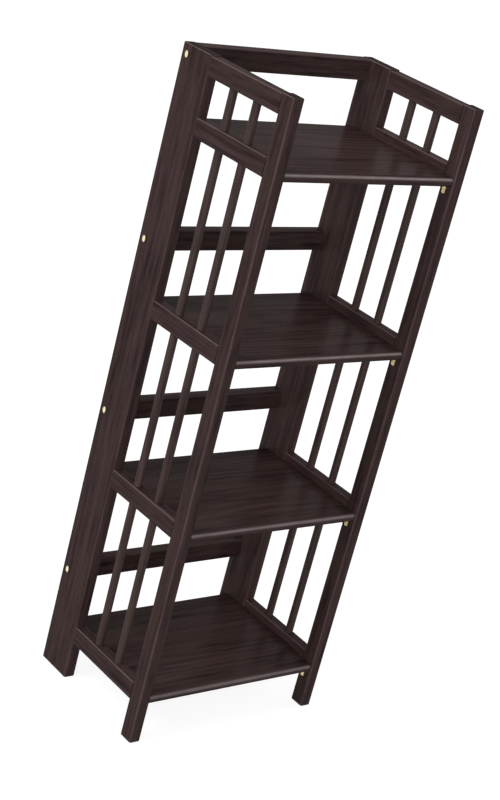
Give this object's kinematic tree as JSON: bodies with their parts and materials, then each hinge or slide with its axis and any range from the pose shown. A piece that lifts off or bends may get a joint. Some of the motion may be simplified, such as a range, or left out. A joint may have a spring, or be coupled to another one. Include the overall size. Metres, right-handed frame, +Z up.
{
  "type": "folding bookstand rack",
  "caption": "Tall narrow bookstand rack in dark stained wood, with slatted sides, cross rails at the back and shelves that turn up about pins at their rear edge.",
  "frame": {"origin": "on the floor, under the middle of the rack's width and depth", "axes": "+X to the right seen from the front, +Y from the front to the back, +Z up"},
  "size_m": [0.3606, 0.25, 1],
  "materials": {
    "stained_wood": "dark espresso stain under satin lacquer",
    "shelf_board": "dark espresso veneer, satin lacquer, grain along the shelf",
    "brass": "pale polished brass plate",
    "dowel_wood": "bare beech"
  },
  "bodies": {
    "frame": {"left_rear_board": "stained_wood", "right_rear_board": "stained_wood", "left_front_post": "stained_wood", "right_front_post": "stained_wood", "left_rail_1": "stained_wood", "left_rail_2": "stained_wood", "left_rail_3": "stained_wood", "left_rail_4": "stained_wood", "left_rail_5": "stained_wood", "right_rail_1": "stained_wood", "right_rail_2": "stained_wood", "right_rail_3": "stained_wood", "right_rail_4": "stained_wood", "right_rail_5": "stained_wood", "left_spindle_1_front": "stained_wood", "left_spindle_1_rear": "stained_wood", "left_spindle_2_front": "stained_wood", "left_spindle_2_rear": "stained_wood", "left_spindle_3_front": "stained_wood", "left_spindle_3_rear": "stained_wood", "left_spindle_4_front": "stained_wood", "left_spindle_4_rear": "stained_wood", "right_spindle_1_front": "stained_wood", "right_spindle_1_rear": "stained_wood", "right_spindle_2_front": "stained_wood", "right_spindle_2_rear": "stained_wood", "right_spindle_3_front": "stained_wood", "right_spindle_3_rear": "stained_wood", "right_spindle_4_front": "stained_wood", "right_spindle_4_rear": "stained_wood", "back_rail_1": "stained_wood", "back_rail_2": "stained_wood", "back_rail_3": "stained_wood", "back_rail_4": "stained_wood", "shelf_1_rests": "brass", "shelf_2_rests": "brass", "shelf_3_rests": "brass", "shelf_4_rests": "brass", "connector_bolts": "brass", "barrel_nuts": "brass", "back_rail_dowels": "dowel_wood", "left_rail_dowels": "dowel_wood", "right_rail_dowels": "dowel_wood"},
    "flap_1": {"shelf_1": "shelf_board", "shelf_1_pivot_pins": "brass"},
    "flap_2": {"shelf_2": "shelf_board", "shelf_2_pivot_pins": "brass"},
    "flap_3": {"shelf_3": "shelf_board", "shelf_3_pivot_pins": "brass"},
    "flap_4": {"shelf_4": "shelf_board", "shelf_4_pivot_pins": "brass"}
  },
  "joints": [
    {"name": "shelf_1_lift", "type": "hinge", "parent": "frame", "child": "flap_1", "pos_m": [0, 0.09625, 0.88975], "axis": [-1, 0, 0], "range_deg": [0, 91.2]},
    {"name": "shelf_2_lift", "type": "hinge", "parent": "frame", "child": "flap_2", "pos_m": [0, 0.09625, 0.61642], "axis": [-1, 0, 0], "range_deg": [0, 91.2]},
    {"name": "shelf_3_lift", "type": "hinge", "parent": "frame", "child": "flap_3", "pos_m": [0, 0.09625, 0.34308], "axis": [-1, 0, 0], "range_deg": [0, 91.2]},
    {"name": "shelf_4_lift", "type": "hinge", "parent": "frame", "child": "flap_4", "pos_m": [0, 0.09625, 0.06975], "axis": [-1, 0, 0], "range_deg": [0, 91.2]}
  ]
}
